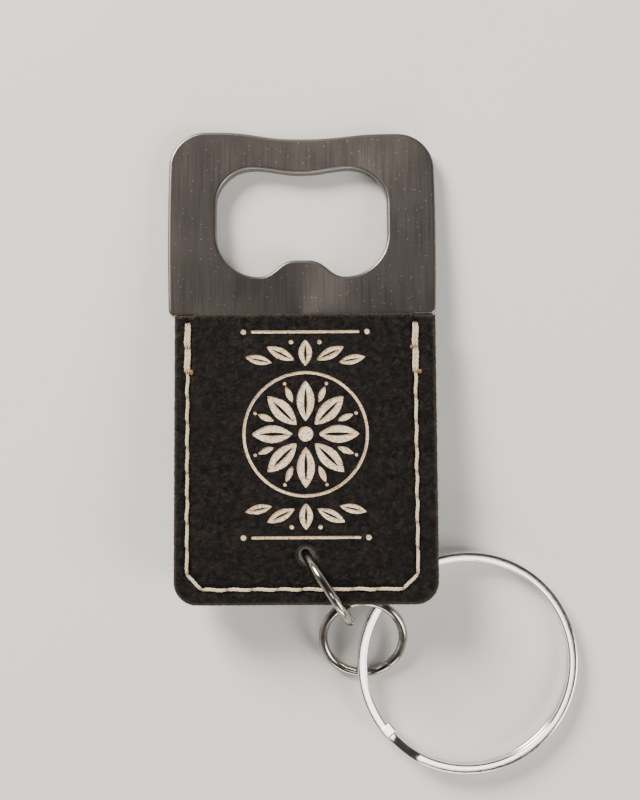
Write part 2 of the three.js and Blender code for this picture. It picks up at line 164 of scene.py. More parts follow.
PLATE_SPACING = 0.2
SLEEVE_SPACING = 0.3


class Pen:
    """Draws an outline as points about one spacing apart, and keeps every corner."""

    def __init__(self, start, spacing=0.25):
        self.points = [start]
        self.spacing = spacing

    def follow(self, length, point_at):
        steps = max(1, round(length / self.spacing))
        self.points += [point_at(i / steps) for i in range(1, steps + 1)]

    def line(self, x, y):
        x0, y0 = self.points[-1]
        self.follow(math.hypot(x - x0, y - y0), lambda t: (x0 + (x - x0) * t, y0 + (y - y0) * t))

    def arc(self, x, y, radius, start, end):
        def point_at(t):
            angle = start + (end - start) * t
            return x + radius * math.cos(angle), y + radius * math.sin(angle)

        first = point_at(0)
        if math.dist(first, self.points[-1]) > 1e-6:
            self.line(*first)
        self.follow(radius * abs(end - start), point_at)

    def curve(self, *handles):
        """A Bezier curve from the pen's place, of degree 2 or 3."""
        start = self.points[-1]
        corners = [start, *handles]

        def point_at(t):
            row = [np.array(c, float) for c in corners]
            while len(row) > 1:
                row = [a + (b - a) * t for a, b in zip(row, row[1:])]
            return tuple(row[0])

        length = sum(math.dist(a, b) for a, b in zip(corners, corners[1:]))
        self.follow(length, point_at)


def loop_of(points):
    """The points as an array, without a repeated last point, anticlockwise."""
    loop = np.array(points, float)
    if np.allclose(loop[0], loop[-1], atol=1e-6):
        loop = loop[:-1]
    following = np.roll(loop, -1, axis=0)
    area = (loop[:, 0] * following[:, 1] - loop[:, 1] * following[:, 0]).sum()
    return loop if area > 0 else loop[::-1]


def circle(x, y, radius, count=48):
    angles = np.linspace(0, 2 * math.pi, count, endpoint=False)
    return np.stack([x + radius * np.cos(angles), y + radius * np.sin(angles)], 1)


def inset(loop, distance):
    """The loop moved inwards by a distance, or one distance for each point."""
    before = loop - np.roll(loop, 1, axis=0)
    after = np.roll(loop, -1, axis=0) - loop
    before /= np.linalg.norm(before, axis=1, keepdims=True)
    after /= np.linalg.norm(after, axis=1, keepdims=True)
    bisector = before + after
    bisector /= np.linalg.norm(bisector, axis=1, keepdims=True)
    stretch = np.asarray(distance) / np.maximum(0.6, (bisector * before).sum(1))
    inward = np.stack([-bisector[:, 1], bisector[:, 0]], 1)
    return loop + inward * stretch[:, None]


def plate_outline():
    foot = HEAD_HALF_WIDTH - HEAD_SIDE_BULGE
    side_top = HEAD_HEIGHT - HEAD_TOP_RADIUS
    middle = (side_top + HEAD_FOOT_RADIUS) / 2
    bulge = HEAD_HALF_WIDTH + HEAD_SIDE_BULGE
    dip = HEAD_HEIGHT - HEAD_TOP_DIP
    ease = HEAD_HIGH_POINT_X / 2
    tongue_corner = TONGUE_HALF_WIDTH - TONGUE_CORNER_RADIUS
    tongue_y = TONGUE_CORNER_RADIUS - TONGUE_LENGTH
    pen = Pen((TONGUE_HALF_WIDTH, 0), PLATE_SPACING)
    pen.line(foot - HEAD_FOOT_RADIUS, 0)
    pen.arc(foot - HEAD_FOOT_RADIUS, HEAD_FOOT_RADIUS, HEAD_FOOT_RADIUS, -QUARTER, 0)
    right_y = HEAD_HEIGHT - HEAD_RIGHT_DROP
    right_side_top = side_top - HEAD_RIGHT_DROP
    pen.curve((bulge, middle), (foot, right_side_top))
    pen.arc(foot - HEAD_TOP_RADIUS, right_side_top, HEAD_TOP_RADIUS, 0, QUARTER)
    pen.line(HEAD_HIGH_POINT_X, right_y)
    pen.curve((ease, right_y), (ease, dip), (0, dip))
    pen.curve((-ease, dip), (-ease, HEAD_HEIGHT), (-HEAD_HIGH_POINT_X, HEAD_HEIGHT))
    pen.arc(HEAD_TOP_RADIUS - foot, side_top, HEAD_TOP_RADIUS, QUARTER, 2 * QUARTER)
    pen.curve((-bulge, middle), (-foot, HEAD_FOOT_RADIUS))
    pen.arc(HEAD_FOOT_RADIUS - foot, HEAD_FOOT_RADIUS, HEAD_FOOT_RADIUS, 2 * QUARTER, 3 * QUARTER)
    pen.line(-TONGUE_HALF_WIDTH, 0)
    pen.arc(-tongue_corner, tongue_y, TONGUE_CORNER_RADIUS, 2 * QUARTER, 3 * QUARTER)
    pen.arc(tongue_corner, tongue_y, TONGUE_CORNER_RADIUS, 3 * QUARTER, 4 * QUARTER)
    pen.line(TONGUE_HALF_WIDTH, 0)
    return loop_of(pen.points) + (PLATE_OFFSET_X, 0)


def opening_outline():
    top = OPENING_TOP_Y
    sag = OPENING_TOP_Y - OPENING_TOP_SAG
    tab = OPENING_BOTTOM_Y + LIFT_TAB_HEIGHT
    lobe = OPENING_HALF_WIDTH - OPENING_BOTTOM_RADIUS
    lobe_y = OPENING_BOTTOM_Y + OPENING_BOTTOM_RADIUS
    shoulder_x = OPENING_HALF_WIDTH - OPENING_TOP_RADIUS
    pen = Pen((0, tab), PLATE_SPACING)
    pen.line(LIFT_TAB_HALF_WIDTH, tab)
    pen.curve((LIFT_TAB_HALF_WIDTH + LIFT_TAB_TOP_EASE, tab),
              (lobe - LIFT_TAB_FOOT_EASE, OPENING_BOTTOM_Y), (lobe, OPENING_BOTTOM_Y))
    pen.arc(lobe, lobe_y, OPENING_BOTTOM_RADIUS, -QUARTER, 0)
    pen.arc(shoulder_x, top - OPENING_TOP_RADIUS, OPENING_TOP_RADIUS, 0, QUARTER)
    pen.line(OPENING_TOP_LOBE_X, top)
    ease_x = OPENING_TOP_LOBE_X - OPENING_TOP_LOBE_EASE
    pen.curve((ease_x, top), (OPENING_TOP_SAG_EASE, sag), (0, sag))
    right = pen.points
    left = [(-x, y) for x, y in right[-2:0:-1]]
    return loop_of(right + left) + (PLATE_OFFSET_X, 0)


def sleeve_outline(top, margin=0.0, lip=False):
    half = SLEEVE_HALF_WIDTH - margin
    radius = SLEEVE_CORNER_RADIUS - margin
    corner_y = margin - SLEEVE_LENGTH + radius
    pen = Pen((half, top), SLEEVE_SPACING)
    if lip:
        pen.line(FRONT_LIP_HALF_WIDTH, top)
        pen.line(FRONT_LIP_HALF_WIDTH - FRONT_LIP_SLOPE, FRONT_LIP)
        pen.line(FRONT_LIP_SLOPE - FRONT_LIP_HALF_WIDTH, FRONT_LIP)
        pen.line(-FRONT_LIP_HALF_WIDTH, top)
    pen.line(-half, top)
    pen.arc(radius - half, corner_y, radius, 2 * QUARTER, 3 * QUARTER)
    pen.arc(half - radius, corner_y, radius, 3 * QUARTER, 4 * QUARTER)
    pen.line(half, top)
    return loop_of(pen.points)


# ---- Ornament: a rosette in a ring, with a spray of leaves above and below ----

ORNAMENT_Y = -18.6
ORNAMENT_DEPTH = 0.16
VEIN_START = 0.12
VEIN_LENGTH = 0.7
VEIN_WIDTH = 0.17
HEART_RADIUS = 1.15
ROSETTE_RING_RADII = (9.75, 9.3)
PETAL_COUNT = 8
PETAL_START = 2.0
PETAL_SIZE = (6.3, 2.75)
BUD_START = 5.3
BUD_SIZE = (2.7, 0.95)
ROSETTE_DOT_PLACE = 8.45
ROSETTE_DOT_RADIUS = 0.27
SPRAY_MIDDLE_Y = 10.6
SPRAY_MIDDLE_SIZE = (4.1, 2.1)
BAR_Y = 15.9
BAR_HALF_LENGTH = 8.2
BAR_HALF_HEIGHT = 0.22
# One side of a spray. A leaf is x, y, degrees, length, width; a dot is x, y, radius, points.
SPRAY_LEAVES = [(1.75, 11.5, 26, 4.7, 1.75), (5.2, 11.1, 12, 4.2, 1.45)]
SPRAY_DOTS = [(2.2, 14.3, 0.34, 16), (9.6, 15.9, 0.42, 18)]


def leaf(x, y, angle, length, width):
    """A leaf that starts at a point and grows along an angle."""
    t = np.linspace(0, 1, 25)
    half = width / 2 * np.sin(math.pi * t) ** 0.85
    along = np.concatenate([t, t[-2:0:-1]]) * length
    across = np.concatenate([-half, half[-2:0:-1]])
    cos, sin = math.cos(angle), math.sin(angle)
    return np.stack([x + along * cos - across * sin, y + along * sin + across * cos], 1)


def veined_leaf(x, y, angle, length, width):
    """A leaf, and a smaller one inside it that isn't engraved."""
    vein_x = x + VEIN_START * length * math.cos(angle)
    vein_y = y + VEIN_START * length * math.sin(angle)
    vein = leaf(vein_x, vein_y, angle, VEIN_LENGTH * length, VEIN_WIDTH * width)
    return [leaf(x, y, angle, length, width), vein]


def bar(x, y, half_length, half_height):
    right = [(x + half_length + half_height * math.cos(a), y + half_height * math.sin(a))
             for a in np.linspace(-QUARTER, QUARTER, 9)]
    left = [(2 * x - px, 2 * y - py) for px, py in right]
    return np.array(right + left)


def polar(radius, angle):
    return radius * math.cos(angle), radius * math.sin(angle)


def ornament():
    loops = [circle(0, 0, HEART_RADIUS, 32)]
    loops += [circle(0, 0, radius, 150) for radius in ROSETTE_RING_RADII]
    for i in range(PETAL_COUNT):
        angle = i * QUARTER / 2
        loops += veined_leaf(*polar(PETAL_START, angle), angle, *PETAL_SIZE)
        between = angle + QUARTER / 4
        loops.append(leaf(*polar(BUD_START, between), between, *BUD_SIZE))
        loops.append(circle(*polar(ROSETTE_DOT_PLACE, between), ROSETTE_DOT_RADIUS, 14))
    for up in (1, -1):
        loops += veined_leaf(0, SPRAY_MIDDLE_Y * up, up * QUARTER, *SPRAY_MIDDLE_SIZE)
        for side in (1, -1):
            for x, y, degrees, length, width in SPRAY_LEAVES:
                angle = math.radians(degrees if side > 0 else 180 - degrees) * up
                loops += veined_leaf(x * side, y * up, angle, length, width)
            for x, y, radius, count in SPRAY_DOTS:
                loops.append(circle(x * side, y * up, radius, count))
        loops.append(bar(0, BAR_Y * up, BAR_HALF_LENGTH, BAR_HALF_HEIGHT))
    return [loop + (0, ORNAMENT_Y) for loop in loops]


# ---- Mesh building ----

JITTER = 0.3
RIM_STEPS = 6
RIM_GUARD = 0.12
FOOT_RADIUS = 0.3
BITE_UNEVENNESS = 0.12


def ripple(x, y, wavelength, seed):
    """A smooth irregular ripple between about -1 and 1."""
    draw = random.Random(seed)
    total = np.zeros(np.shape(x))
    for _ in range(7):
        turn = draw.uniform(0, 2 * math.pi)
        pitch = 2 * math.pi / (wavelength * draw.uniform(0.65, 1.5))
        phase = draw.uniform(0, 6.3)
        along = x * math.cos(turn) + y * math.sin(turn)
        total = total + np.sin(pitch * along + phase)
    return total / 3.5


def inside(points, loop):
    x, y = points[:, 0], points[:, 1]
    found = np.zeros(len(points), bool)
    for (x0, y0), (x1, y1) in zip(loop, np.roll(loop, -1, axis=0)):
        if y0 != y1:
            found ^= ((y0 > y) != (y1 > y)) & (x < (x1 - x0) * (y - y0) / (y1 - y0) + x0)
    return found


def scatter(low, high, spacing, seed):
    """Jittered points on a grid."""
    draw = np.random.default_rng(seed)
    x, y = np.meshgrid(np.arange(low[0], high[0], spacing), np.arange(low[1], high[1], spacing))
    points = np.stack([x.ravel(), y.ravel()], 1)
    return points + draw.uniform(-JITTER, JITTER, points.shape) * spacing


def triangulate(loops, extra):
    """Triangles over the loops and points, and the number that each given point has among them."""
    points, edges = [], []
    for loop in loops:
        start = len(points)
        points += loop.tolist()
        edges += [(start + i, start + (i + 1) % len(loop)) for i in range(len(loop))]
    points += extra.tolist()
    vectors = [Vector(p) for p in points]
    verts, _, faces, origins, _, _ = delaunay_2d_cdt(vectors, edges, [], 0, 1e-6)
    number = np.zeros(len(points), int)
    for index, given in enumerate(origins):
        number[given] = index
    return np.array([tuple(v) for v in verts]), np.array(faces), number


class Shell:
    """A mesh under construction: vertices, faces, a material index for each face."""

    def __init__(self):
        self.verts = []
        self.faces = []
        self.finish = []

    def add(self, verts, faces=(), finish=0):
        start = len(self.verts)
        self.verts += [tuple(v) for v in verts]
        self.faces += [tuple(start + i for i in f) for f in faces]
        self.finish += [finish] * len(faces)
        return start

    def join(self, ring, other, finish=0):
        """Quads between two closed rings of vertex numbers."""
        count = len(ring)
        for i in range(count):
            j = (i + 1) % count
            self.faces.append((ring[i], ring[j], other[j], other[i]))
        self.finish += [finish] * count


def close(shell):
    """The shell as a Blender mesh with its faces turned outwards."""
    mesh = bpy.data.meshes.new("shell")
    mesh.from_pydata(shell.verts, [], shell.faces)
    mesh.polygons.foreach_set("material_index", shell.finish)
    work = bmesh.new()
    work.from_mesh(mesh)
    bmesh.ops.recalc_face_normals(work, faces=work.faces)
    work.to_mesh(mesh)
    work.free()
    return mesh


def sheet_mesh(outer, holes, radius, surface, engraved=(), extra=None, roughness=0.0, depth=0.0):
    """A sheet from Z = 0 up to surface(x, y), with rounded edges.

    Extra points are added to its top. Engraved loops are cut down by depth.
    """
    rims = [(outer, 1)] + [(hole, -1) for hole in holes]

    def rim_at(loop, side, distance):
        rough = roughness * ripple(loop[:, 0] * 3, loop[:, 1] * 3, 1.7, 5) if roughness else 0
        return inset(loop, side * (distance + rough))

    tops = [rim_at(loop, side, radius) for loop, side in rims]
    guards = [rim_at(loop, side, radius + RIM_GUARD) for loop, side in rims]
    free = np.zeros((0, 2)) if extra is None else extra[inside(extra, guards[0])]
    for guard in guards[1:]:
        free = free[~inside(free, guard)]
    flat, tris, number = triangulate([*tops, *guards, *engraved], free)
    middle = flat[tris].mean(1)
    keep = inside(middle, tops[0])
    for top in tops[1:]:
        keep &= ~inside(middle, top)
    cut = np.zeros(len(tris), bool)
    for loop in engraved:
        cut ^= inside(middle, loop)
    cut = cut[keep]
    tris = tris[keep]

    shell = Shell()
    height = surface(flat[:, 0], flat[:, 1])
    shell.add(np.column_stack([flat, height]), tris[~cut])
    if cut.any():
        engrave(shell, flat, height, tris, cut, depth)

    angles = [k * QUARTER / RIM_STEPS for k in range(1, RIM_STEPS + 1)]
    profile = [(radius * (1 - math.sin(a)), radius * (1 - math.cos(a))) for a in angles]
    foot = min(radius, FOOT_RADIUS)
    foot_profile = [(d * foot / radius, drop * foot / radius) for d, drop in profile[::-1]]
    bottoms = []
    given = 0
    for (loop, side), top in zip(rims, tops):
        previous = number[given:given + len(top)].tolist()
        given += len(top)
        rim_height = surface(top[:, 0], top[:, 1])
        rings = [(distance, rim_height - drop) for distance, drop in profile]
        rings += [(distance, rise + 0 * rim_height) for distance, rise in foot_profile]
        rings.append((foot, 0 * rim_height))
        for distance, z in rings:
            ring = rim_at(loop, side, distance)
            start = shell.add(np.column_stack([ring, z]))
            current = list(range(start, start + len(loop)))
            shell.join(previous, current)
            previous = current
        bottoms.append((ring, previous))
    floor_flat, floor_tris, number = triangulate([ring for ring, _ in bottoms], np.zeros((0, 2)))
    rim_ids = np.zeros(len(floor_flat), int)
    rim_ids[number] = [i for _, ids in bottoms for i in ids]
    middle = floor_flat[floor_tris].mean(1)
    keep = inside(middle, bottoms[0][0])
    for ring, _ in bottoms[1:]:
        keep &= ~inside(middle, ring)
    for tri in floor_tris[keep]:
        shell.faces.append(tuple(int(i) for i in rim_ids[tri]))
        shell.finish.append(0)
    return shell


def engrave(shell, flat, height, tris, cut, depth):
    """The engraved floor, and the walls between it and the surface."""
    used = np.unique(tris[cut])
    lowered = {int(v): i for i, v in enumerate(used)}
    bite = depth * (1 + BITE_UNEVENNESS * ripple(flat[used, 0], flat[used, 1], 0.5, 8))
    floor = np.column_stack([flat[used], height[used] - bite])
    start = shell.add(floor, [[lowered[int(i)] for i in t] for t in tris[cut]], finish=1)
    owner = {}
    for index, tri in enumerate(tris):
        for a, b in ((tri[0], tri[1]), (tri[1], tri[2]), (tri[2], tri[0])):
            owner.setdefault((min(a, b), max(a, b)), []).append(index)
    for (a, b), found in owner.items():
        if len(found) == 2 and cut[found[0]] != cut[found[1]]:
            shell.faces.append((int(a), int(b), start + lowered[int(b)], start + lowered[int(a)]))
            shell.finish.append(1)


def sweep(sections, centres, outs, ups):
    """A closed tube: one section of (out, up) offsets for each centre, and a fan over each end."""
    sections = np.asarray(sections, float)
    count, sides = len(centres), sections.shape[1]
    ring = centres[:, None] + sections[:, :, :1] * outs[:, None] + sections[:, :, 1:] * ups[:, None]
    verts = np.concatenate([ring.reshape(-1, 3), ring[0].mean(0)[None], ring[-1].mean(0)[None]])
    faces = []
    for i in range(count - 1):
        for j in range(sides):
            k = (j + 1) % sides
            faces.append((i * sides + j, i * sides + k, (i + 1) * sides + k, (i + 1) * sides + j))
    first, last = count * sides, count * sides + 1
    for j in range(sides):
        k = (j + 1) % sides
        faces.append((first, k, j))
        faces.append((last, (count - 1) * sides + j, (count - 1) * sides + k))
    return verts, faces


def round_section(radius, sides):
    angles = np.linspace(0, 2 * math.pi, sides, endpoint=False)
    return np.stack([radius * np.cos(angles), radius * np.sin(angles)], 1)


def flat_section(width, height, corner, steps=5):
    points = []
    for quarter, (sx, sy) in enumerate([(1, 1), (-1, 1), (-1, -1), (1, -1)]):
        for k in range(steps + 1):
            angle = (quarter + k / steps) * QUARTER
            x = sx * (width / 2 - corner) + corner * math.cos(angle)
            y = sy * (height / 2 - corner) + corner * math.sin(angle)
            points.append((x, y))
    return np.array(points)


def eased_ends(section, lengths, corner):
    """The section at each station, drawn in over the last bit of each end as a rounded cut end is."""
    total = lengths[-1]
    to_end = np.minimum(lengths, total - lengths)
    near = np.clip(1 - to_end / corner, 0, 1)
    size = np.abs(section).max()
    scale = 1 - corner / size * (1 - np.sqrt(1 - near**2))
    return section[None] * scale[:, None, None]


def facing_turn(facing):
    """Turns a piece built for the front (1) over to the back (-1)."""
    return Matrix.Rotation(0 if facing > 0 else math.pi, 4, "Y")


def add_object(name, data):
    thing = bpy.data.objects.new(name, data)
    bpy.context.scene.collection.objects.link(thing)
    return thing


def make(name, mesh, place, body, materials, replaces=(), sharp=None):
    """Places the mesh, given in millimetres, and ties it to the frame."""
    mesh.name = name
    mesh.transform(Matrix.Scale(MM, 4) @ place)
    for material in materials:
        mesh.materials.append(material)
    mesh.polygons.foreach_set("use_smooth", [True] * len(mesh.polygons))
    if sharp is not None:
        mesh.set_sharp_from_angle(angle=math.radians(sharp))
    piece = add_object(name, mesh)
    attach(piece, body)
    if replaces:
        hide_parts(*replaces)
    return piece


# ---- Materials ----


class Recipe:
    """A material's node tree, with short calls for the nodes that it needs."""

    def __init__(self, name, **surface):
        self.material = bpy.data.materials.new(name)
        self.material.use_nodes = True
        self.tree = self.material.node_tree
        self.shader = self.tree.nodes["Principled BSDF"]
        for socket, value in surface.items():
            self.shader.inputs[socket.replace("_", " ")].default_value = value
        coordinates = self.tree.nodes.new("ShaderNodeTexCoord")
        self.place = coordinates.outputs["Object"]

    def link(self, source, target):
        if isinstance(source, (int, float, tuple)):
            target.default_value = source
        else:
            self.tree.links.new(source, target)

    def scaled(self, x, y, z):
        """The place in cycles per millimetre along each axis."""
        node = self.tree.nodes.new("ShaderNodeMapping")
        node.inputs["Scale"].default_value = (x / MM, y / MM, z / MM)
        self.link(self.place, node.inputs["Vector"])
        return node.outputs["Vector"]

    def noise(self, vector, detail=3.0, roughness=0.5, distortion=0.0):
        node = self.tree.nodes.new("ShaderNodeTexNoise")
        self.link(vector, node.inputs["Vector"])
        node.inputs["Scale"].default_value = 1.0
        node.inputs["Detail"].default_value = detail
        node.inputs["Roughness"].default_value = roughness
        node.inputs["Distortion"].default_value = distortion
        return node.outputs["Fac"]

    def grain(self, frequency, *shape):
        """Noise of the same frequency along every axis."""
        return self.noise(self.scaled(frequency, frequency, frequency), *shape)

    def cells(self, vector, feature="F1"):
        node = self.tree.nodes.new("ShaderNodeTexVoronoi")
        node.feature = feature
        self.link(vector, node.inputs["Vector"])
        node.inputs["Scale"].default_value = 1.0
        return node.outputs["Distance"]

    def attribute(self, name):
        node = self.tree.nodes.new("ShaderNodeAttribute")
        node.attribute_name = name
        return node.outputs["Fac"]

    def spread(self, value, low, high, new_low, new_high):
        """The value, with low to high stretched to new_low to new_high."""
        node = self.tree.nodes.new("ShaderNodeMapRange")
        self.link(value, node.inputs["Value"])
        bounds = {"From Min": low, "From Max": high, "To Min": new_low, "To Max": new_high}
        for socket, bound in bounds.items():
            node.inputs[socket].default_value = bound
        return node.outputs["Result"]

    def mix(self, factor, first, second):
        """The first colour at factor 0, the second at 1."""
        node = self.tree.nodes.new("ShaderNodeMix")
        node.data_type = "RGBA"
        self.link(factor, node.inputs["Factor"])
        inputs = [s for s in node.inputs if s.type == "RGBA"]
        for colour, socket in zip((first, second), inputs):
            self.link((*colour, 1.0) if isinstance(colour, tuple) else colour, socket)
        return next(s for s in node.outputs if s.type == "RGBA")

    def tones(self, value, dark, light, low=0.35, high=0.65):
        """Dark where the value is low, light where it is high."""
        return self.mix(self.spread(value, low, high, 0, 1), dark, light)

    def math(self, operation, first, second):
        node = self.tree.nodes.new("ShaderNodeMath")
        node.operation = operation
        self.link(first, node.inputs[0])
        self.link(second, node.inputs[1])
        return node.outputs[0]

    def bump(self, height, depth, normal=None):
        """Depth in millimetres for a height that goes from 0 to 1."""
        node = self.tree.nodes.new("ShaderNodeBump")
        node.inputs["Distance"].default_value = depth * MM
        self.link(height, node.inputs["Height"])
        if normal is not None:
            self.link(normal, node.inputs["Normal"])
        return node.outputs["Normal"]

    def finish(self, colour=None, roughness=None, normal=None):
        for socket, value in (("Base Color", colour), ("Roughness", roughness), ("Normal", normal)):
            if value is not None:
                self.link(value, self.shader.inputs[socket])
        return self.material


def brushed_steel():
    recipe = Recipe("brushed_steel", Metallic=1.0, Anisotropic=0.3)
    fine = recipe.noise(recipe.scaled(15, 0.10, 0.5), 4, 0.6)
    broad = recipe.noise(recipe.scaled(3.2, 0.03, 0.3), 4, 0.55)
    blotch = recipe.noise(recipe.scaled(0.16, 0.11, 0.16), 3, 0.5)
    pits = recipe.spread(recipe.cells(recipe.scaled(1.2, 1.2, 1.2)), 0.06, 0.13, 1, 0)
    tone = recipe.tones(broad, (0.176, 0.157, 0.143), (0.190, 0.170, 0.155), 0.3, 0.7)
    tone = recipe.mix(recipe.spread(fine, 0.35, 0.65, 0, 0.32), tone, (0.25, 0.225, 0.206))
    tone = recipe.mix(recipe.spread(blotch, 0.42, 0.7, 0, 0.14), tone, (0.146, 0.129, 0.117))
    tone = recipe.mix(recipe.math("MULTIPLY", pits, 0.55), tone, (0.95, 0.82, 0.66))
    patches = recipe.spread(blotch, 0.3, 0.7, -0.02, 0.03)
    rough = recipe.math("ADD", recipe.spread(fine, 0.3, 0.7, 0.30, 0.38), patches)
    normal = recipe.bump(fine, 0.0035)
    normal = recipe.bump(broad, 0.0015, normal)
    return recipe.finish(tone, rough, normal)


def black_leather():
    recipe = Recipe("black_leather", Specular_IOR_Level=0.12)
    warp = recipe.grain(0.5, 3, 0.6, 1.5)
    pebble = recipe.grain(0.95, 5, 0.6, 0.9)
    creases = recipe.cells(recipe.scaled(0.8, 1.05, 0.8), "DISTANCE_TO_EDGE")
    grit = recipe.grain(7, 4, 0.6)
    cloud = recipe.grain(0.22, 4, 0.55)
    edge = recipe.attribute("edge")
    tone = recipe.tones(cloud, (0.0008, 0.0006, 0.0005), (0.0024, 0.0017, 0.0013), 0.35, 0.68)
    # Painted highlight: the raised pebble grain is coloured lighter brown than the hollows.
    tone = recipe.mix(recipe.spread(pebble, 0.46, 0.62, 0, 0.9), tone, (0.0150, 0.0102, 0.0072))
    dust = recipe.spread(recipe.grain(5, 5, 0.7), 0.62, 0.72, 0, 0.6)
    # Painted shade: the crease lines between the cells are coloured near-black.
    crease_shade = recipe.spread(creases, 0, 0.10, 0.7, 0)
    tone = recipe.mix(crease_shade, tone, (0.0005, 0.0004, 0.0003))
    tone = recipe.mix(dust, tone, (0.055, 0.039, 0.028))
    worn = recipe.math("MULTIPLY", edge, recipe.spread(grit, 0.36, 0.62, 0.15, 1))
    tone = recipe.mix(recipe.math("MULTIPLY", worn, 0.75), tone, (0.105, 0.080, 0.058))
    rough = recipe.spread(grit, 0.3, 0.7, 0.34, 0.50)
    normal = recipe.bump(recipe.spread(creases, 0, 0.2, 0, 1), 0.06)
    normal = recipe.bump(warp, 0.35, normal)
    normal = recipe.bump(pebble, 0.5, normal)
    normal = recipe.bump(grit, 0.06, normal)
    return recipe.finish(tone, rough, normal)


def engraved_leather():
    recipe = Recipe("engraved_leather", Specular_IOR_Level=0.2)
    burn = recipe.noise(recipe.scaled(2.6, 5.2, 4.2), 5, 0.72)
    speck = recipe.grain(10, 3, 0.6)
    cloud = recipe.grain(0.5, 3, 0.5)
    tone = recipe.tones(cloud, (0.78, 0.60, 0.39), (0.95, 0.80, 0.59))
    tone = recipe.mix(recipe.spread(burn, 0.52, 0.60, 0, 0.95), tone, (0.10, 0.066, 0.040))
    tone = recipe.mix(recipe.spread(speck, 0.58, 0.66, 0, 0.7), tone, (0.24, 0.17, 0.11))
    normal = recipe.bump(burn, 0.09)
    normal = recipe.bump(speck, 0.05, normal)
    return recipe.finish(tone, recipe.spread(speck, 0.3, 0.7, 0.75, 0.95), normal)


def cream_thread():
    recipe = Recipe("cream_thread", Sheen_Weight=0.25, Sheen_Roughness=0.4, Specular_IOR_Level=0.3)
    fibre = recipe.grain(16, 3, 0.6, 0.6)
    cloud = recipe.grain(0.5, 3, 0.5)
    ply_shade_and_hole_darkening = recipe.attribute("ply_shade_and_hole_darkening")
    tone = recipe.tones(cloud, (0.80, 0.64, 0.41), (0.93, 0.80, 0.58))
    tone = recipe.mix(recipe.spread(fibre, 0.52, 0.7, 0, 0.35), tone, (0.55, 0.39, 0.22))
    # Painted shade: the thread darkens in the valleys between its plies and near the needle holes, by
    # the point attribute written with the stitches.
    tone = recipe.mix(recipe.math("MULTIPLY", ply_shade_and_hole_darkening, 0.8), tone, (0.22, 0.15, 0.09))
    return recipe.finish(tone, recipe.spread(fibre, 0.3, 0.7, 0.6, 0.85), recipe.bump(fibre, 0.04))


def melted_thread():
    recipe = Recipe("melted_thread", Coat_Weight=0.3, Coat_Roughness=0.3)
    cloud = recipe.grain(2.5, 4, 0.6)
    tone = recipe.tones(cloud, (0.085, 0.028, 0.008), (0.30, 0.115, 0.030))
    return recipe.finish(tone, recipe.spread(cloud, 0.3, 0.7, 0.35, 0.6), recipe.bump(cloud, 0.06))


def polished_wire(name, dark, light, low, high, scratch):
    recipe = Recipe(name, Metallic=1.0)
    scratches = recipe.noise(recipe.scaled(11, 3, 11), 4, 0.7, 1.2)
    cloud = recipe.grain(0.45, 3, 0.5)
    pits = recipe.spread(recipe.cells(recipe.scaled(1.7, 1.7, 1.7)), 0.0, 0.09, 1, 0)
    tone = recipe.tones(cloud, dark, light)
    tone = recipe.mix(recipe.math("MULTIPLY", pits, 0.45), tone, (0.16, 0.145, 0.13))
    patches = recipe.spread(cloud, 0.3, 0.7, 0, 0.05)
    rough = recipe.math("ADD", recipe.spread(scratches, 0.35, 0.7, low, high), patches)
    return recipe.finish(tone, rough, recipe.bump(scratches, scratch))


def fibre_board():
    recipe = Recipe("fibre_board")
    layers = recipe.noise(recipe.scaled(1.2, 1.2, 9), 4, 0.6)
    tone = recipe.tones(layers, (0.07, 0.056, 0.042), (0.17, 0.14, 0.105))
    rough = recipe.spread(layers, 0.3, 0.7, 0.78, 0.95)
    return recipe.finish(tone, rough, recipe.bump(layers, 0.12))


def leather_fibre():
    recipe = Recipe("leather_fibre", Sheen_Weight=0.3)
    cloud = recipe.grain(0.8, 2, 0.5)
    tone = recipe.tones(cloud, (0.05, 0.040, 0.030), (0.34, 0.28, 0.21), 0.4, 0.6)
    return recipe.finish(tone, recipe.spread(cloud, 0.3, 0.7, 0.7, 0.9))


STEEL = brushed_steel()
LEATHER = black_leather()
ENGRAVED = engraved_leather()
THREAD = cream_thread()
MELTED = melted_thread()
NICKEL = polished_wire("nickel_wire", (0.23, 0.205, 0.18), (0.40, 0.365, 0.325), 0.07, 0.15, 0.006)
CHROME = polished_wire("chrome_wire", (0.74, 0.73, 0.71), (0.86, 0.855, 0.84), 0.07, 0.16, 0.005)
BOARD = fibre_board()
FIBRE = leather_fibre()


# ---- Steel plate ----

PLATE_WAVE = 0.006
PLATE_POINT_SPACING = 0.9


def steel_plate():
    """The head and the tongue, from one sheet with tumbled edges."""
    outer, opening = plate_outline(), opening_outline()
    lift = Matrix.Translation((0, 0, -PLATE_THICKNESS / 2))
    low, high = outer.min(0), outer.max(0)

    def surface(x, y):
        return PLATE_THICKNESS + PLATE_WAVE * ripple(x, y, 7, 21)

    extra = scatter(low, high, PLATE_POINT_SPACING, 3)
    shell = sheet_mesh(outer, [opening], PLATE_EDGE_RADIUS, surface, extra=extra)
    make("steel_plate", close(shell), SLEEVE_FRAME @ lift, "sewn_body", [STEEL],
         ["opener_plate"], sharp=50)


# ---- Seam ----


SEAM_CORNERS = [
    (SEAM_LEFT_X, SEAM_TOP_Y),
    (SEAM_LEFT_X, SEAM_BOTTOM_Y + SEAM_CORNER_CUT),
    (SEAM_LEFT_X + SEAM_CORNER_CUT, SEAM_BOTTOM_Y),
    (SEAM_RIGHT_X - SEAM_CORNER_CUT, SEAM_BOTTOM_Y),
    (SEAM_RIGHT_X, SEAM_BOTTOM_Y + SEAM_CORNER_CUT),
    (SEAM_RIGHT_X, SEAM_TOP_Y),
]
STITCH_PITCH = 4.0
SEAM_SMOOTHING = 13
SEAM_STRIDE = 6


